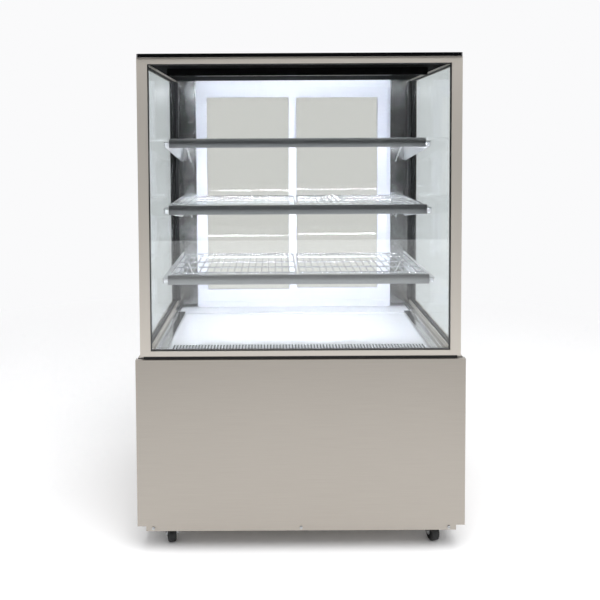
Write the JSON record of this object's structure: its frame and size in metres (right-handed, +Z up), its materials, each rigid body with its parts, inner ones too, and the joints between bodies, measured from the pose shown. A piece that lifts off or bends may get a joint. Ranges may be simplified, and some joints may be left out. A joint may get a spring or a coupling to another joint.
{
  "type": "refrigerated food display",
  "caption": "Free-standing refrigerated food display with a steel base, a glazed case with lit wire shelves, sliding rear doors and castors.",
  "frame": {"origin": "centre of the bounding box at floor level, where the wheels stand", "axes": "+Z up, +Y to the back where the doors are, +X to the right seen from the front; the front faces -Y"},
  "size_m": [0.9, 0.7, 1.368],
  "materials": {
    "galvanised_steel": "matte",
    "brushed_stainless": "brushed",
    "polished_stainless": "polished",
    "screw_steel": "satin",
    "grey_liner": "matte",
    "clear_glass": "clear",
    "door_glass": "clear",
    "black_spacer": "matte",
    "black_rubber": "matte",
    "black_top": "gloss",
    "white_coated": "satin",
    "light_diffuser": "matte",
    "white_flex": "matte",
    "chromed_wire": "polished",
    "white_profile": "satin",
    "fan_plastic": "matte",
    "coil_aluminium": "satin",
    "black_enamel": "gloss",
    "black_plastic": "matte",
    "grey_plastic": "matte",
    "zinc_steel": "satin",
    "wheel_rubber": "matte"
  },
  "bodies": {
    "cabinet": {"air_grille": "white_coated", "base_pan": "galvanised_steel", "cable_gland": "black_plastic", "castor_plates": "zinc_steel", "ceiling_fascia": "polished_stainless", "compressor": "black_enamel", "condenser_coil": "coil_aluminium", "condenser_shroud": "black_enamel", "control_bezels": "black_plastic", "control_box": "galvanised_steel", "deck_channels": "polished_stainless", "deck_panel": "white_coated", "door_frame": "white_profile", "drip_tray": "black_plastic", "evaporator_coil": "coil_aluminium", "evaporator_fan_plate": "galvanised_steel", "front_frame": "brushed_stainless", "front_glass": "clear_glass", "front_panel": "brushed_stainless", "glazing_spacers": "black_spacer", "insulated_well": "grey_liner", "panel_screws": "screw_steel", "post_gaskets": "black_rubber", "rear_ledge": "white_coated", "rear_panel": "galvanised_steel", "rear_posts": "polished_stainless", "roof_panel": "white_coated", "shelf_brackets": "polished_stainless", "shelf_fascias": "polished_stainless", "shelf_light_leads": "white_flex", "shelf_lights": "light_diffuser", "side_glass": "clear_glass", "side_panels": "brushed_stainless", "side_rails": "brushed_stainless", "top_panel": "black_top"},
    "door_left": {"door_left_frame": "white_profile", "door_left_glass": "door_glass"},
    "door_right": {"door_right_frame": "white_profile", "door_right_glass": "door_glass"},
    "racks_upper": {"shelf_upper_racks": "chromed_wire"},
    "racks_middle": {"shelf_middle_racks": "chromed_wire"},
    "racks_lower": {"shelf_lower_racks": "chromed_wire"},
    "condenser_fan": {"condenser_fan": "fan_plastic"},
    "evaporator_fan_left": {"evaporator_fan_left": "fan_plastic"},
    "evaporator_fan_right": {"evaporator_fan_right": "fan_plastic"},
    "button_set": {"button_set": "grey_plastic"},
    "button_down": {"button_down": "grey_plastic"},
    "button_up": {"button_up": "grey_plastic"},
    "light_switch": {"light_switch": "black_plastic"},
    "castor_fork_front_right": {"castor_fork_front_right": "zinc_steel"},
    "castor_wheel_front_right": {"castor_wheel_front_right": "wheel_rubber"},
    "castor_brake_front_right": {"castor_brake_front_right": "zinc_steel"},
    "castor_fork_front_left": {"castor_fork_front_left": "zinc_steel"},
    "castor_wheel_front_left": {"castor_wheel_front_left": "wheel_rubber"},
    "castor_brake_front_left": {"castor_brake_front_left": "zinc_steel"},
    "castor_fork_back_right": {"castor_fork_back_right": "zinc_steel"},
    "castor_wheel_back_right": {"castor_wheel_back_right": "wheel_rubber"},
    "castor_fork_back_left": {"castor_fork_back_left": "zinc_steel"},
    "castor_wheel_back_left": {"castor_wheel_back_left": "wheel_rubber"}
  },
  "joints": [
    {"name": "door_left_slide", "type": "slide", "parent": "cabinet", "child": "door_left", "axis": [1, 0, 0], "range_m": [0, 0.32]},
    {"name": "door_right_slide", "type": "slide", "parent": "cabinet", "child": "door_right", "axis": [1, 0, 0], "range_m": [-0.32, 0]},
    {"name": "racks_upper_lift", "type": "slide", "parent": "cabinet", "child": "racks_upper", "axis": [0, 0, 1], "range_m": [0, 0.04]},
    {"name": "racks_middle_lift", "type": "slide", "parent": "cabinet", "child": "racks_middle", "axis": [0, 0, 1], "range_m": [0, 0.04]},
    {"name": "racks_lower_lift", "type": "slide", "parent": "cabinet", "child": "racks_lower", "axis": [0, 0, 1], "range_m": [0, 0.04]},
    {"name": "condenser_fan_spin", "type": "hinge", "parent": "cabinet", "child": "condenser_fan", "pos_m": [0.19, 0.1997, 0.1835], "axis": [0, 1, 0], "continuous": true},
    {"name": "evaporator_fan_left_spin", "type": "hinge", "parent": "cabinet", "child": "evaporator_fan_left", "pos_m": [-0.15, -0.15, 0.474], "axis": [0, 1, 0], "continuous": true},
    {"name": "evaporator_fan_right_spin", "type": "hinge", "parent": "cabinet", "child": "evaporator_fan_right", "pos_m": [0.15, -0.15, 0.474], "axis": [0, 1, 0], "continuous": true},
    {"name": "button_set_press", "type": "slide", "parent": "cabinet", "child": "button_set", "axis": [0, -1, 0], "range_m": [0, 0.001], "stiffness_N_per_m": 400, "springref_m": -0.001},
    {"name": "button_down_press", "type": "slide", "parent": "cabinet", "child": "button_down", "axis": [0, -1, 0], "range_m": [0, 0.001], "stiffness_N_per_m": 400, "springref_m": -0.001},
    {"name": "button_up_press", "type": "slide", "parent": "cabinet", "child": "button_up", "axis": [0, -1, 0], "range_m": [0, 0.001], "stiffness_N_per_m": 400, "springref_m": -0.001},
    {"name": "light_switch_rock", "type": "hinge", "parent": "cabinet", "child": "light_switch", "pos_m": [-0.225, 0.335, 0.35], "axis": [-1, 0, 0], "range_deg": [0, 8]},
    {"name": "castor_swivel_front_right", "type": "hinge", "parent": "cabinet", "child": "castor_fork_front_right", "pos_m": [0.37, -0.272, 0.062], "axis": [0, 0, 1], "continuous": true},
    {"name": "castor_roll_front_right", "type": "hinge", "parent": "castor_fork_front_right", "child": "castor_wheel_front_right", "pos_m": [0.37466, -0.28939, 0.025], "axis": [0.9659, 0.2588, 0], "continuous": true},
    {"name": "castor_brake_front_right_press", "type": "hinge", "parent": "castor_fork_front_right", "child": "castor_brake_front_right", "pos_m": [0.3766, -0.29663, 0.054], "axis": [0.9659, 0.2588, 0], "range_deg": [0, 12]},
    {"name": "castor_swivel_front_left", "type": "hinge", "parent": "cabinet", "child": "castor_fork_front_left", "pos_m": [-0.37, -0.272, 0.062], "axis": [0, 0, 1], "continuous": true},
    {"name": "castor_roll_front_left", "type": "hinge", "parent": "castor_fork_front_left", "child": "castor_wheel_front_left", "pos_m": [-0.36534, -0.28939, 0.025], "axis": [0.9659, 0.2588, 0], "continuous": true},
    {"name": "castor_brake_front_left_press", "type": "hinge", "parent": "castor_fork_front_left", "child": "castor_brake_front_left", "pos_m": [-0.3634, -0.29663, 0.054], "axis": [0.9659, 0.2588, 0], "range_deg": [0, 12]},
    {"name": "castor_swivel_back_right", "type": "hinge", "parent": "cabinet", "child": "castor_fork_back_right", "pos_m": [0.37, 0.272, 0.062], "axis": [0, 0, 1], "continuous": true},
    {"name": "castor_roll_back_right", "type": "hinge", "parent": "castor_fork_back_right", "child": "castor_wheel_back_right", "pos_m": [0.37466, 0.25461, 0.025], "axis": [0.9659, 0.2588, 0], "continuous": true},
    {"name": "castor_swivel_back_left", "type": "hinge", "parent": "cabinet", "child": "castor_fork_back_left", "pos_m": [-0.37, 0.272, 0.062], "axis": [0, 0, 1], "continuous": true},
    {"name": "castor_roll_back_left", "type": "hinge", "parent": "castor_fork_back_left", "child": "castor_wheel_back_left", "pos_m": [-0.36534, 0.25461, 0.025], "axis": [0.9659, 0.2588, 0], "continuous": true}
  ]
}
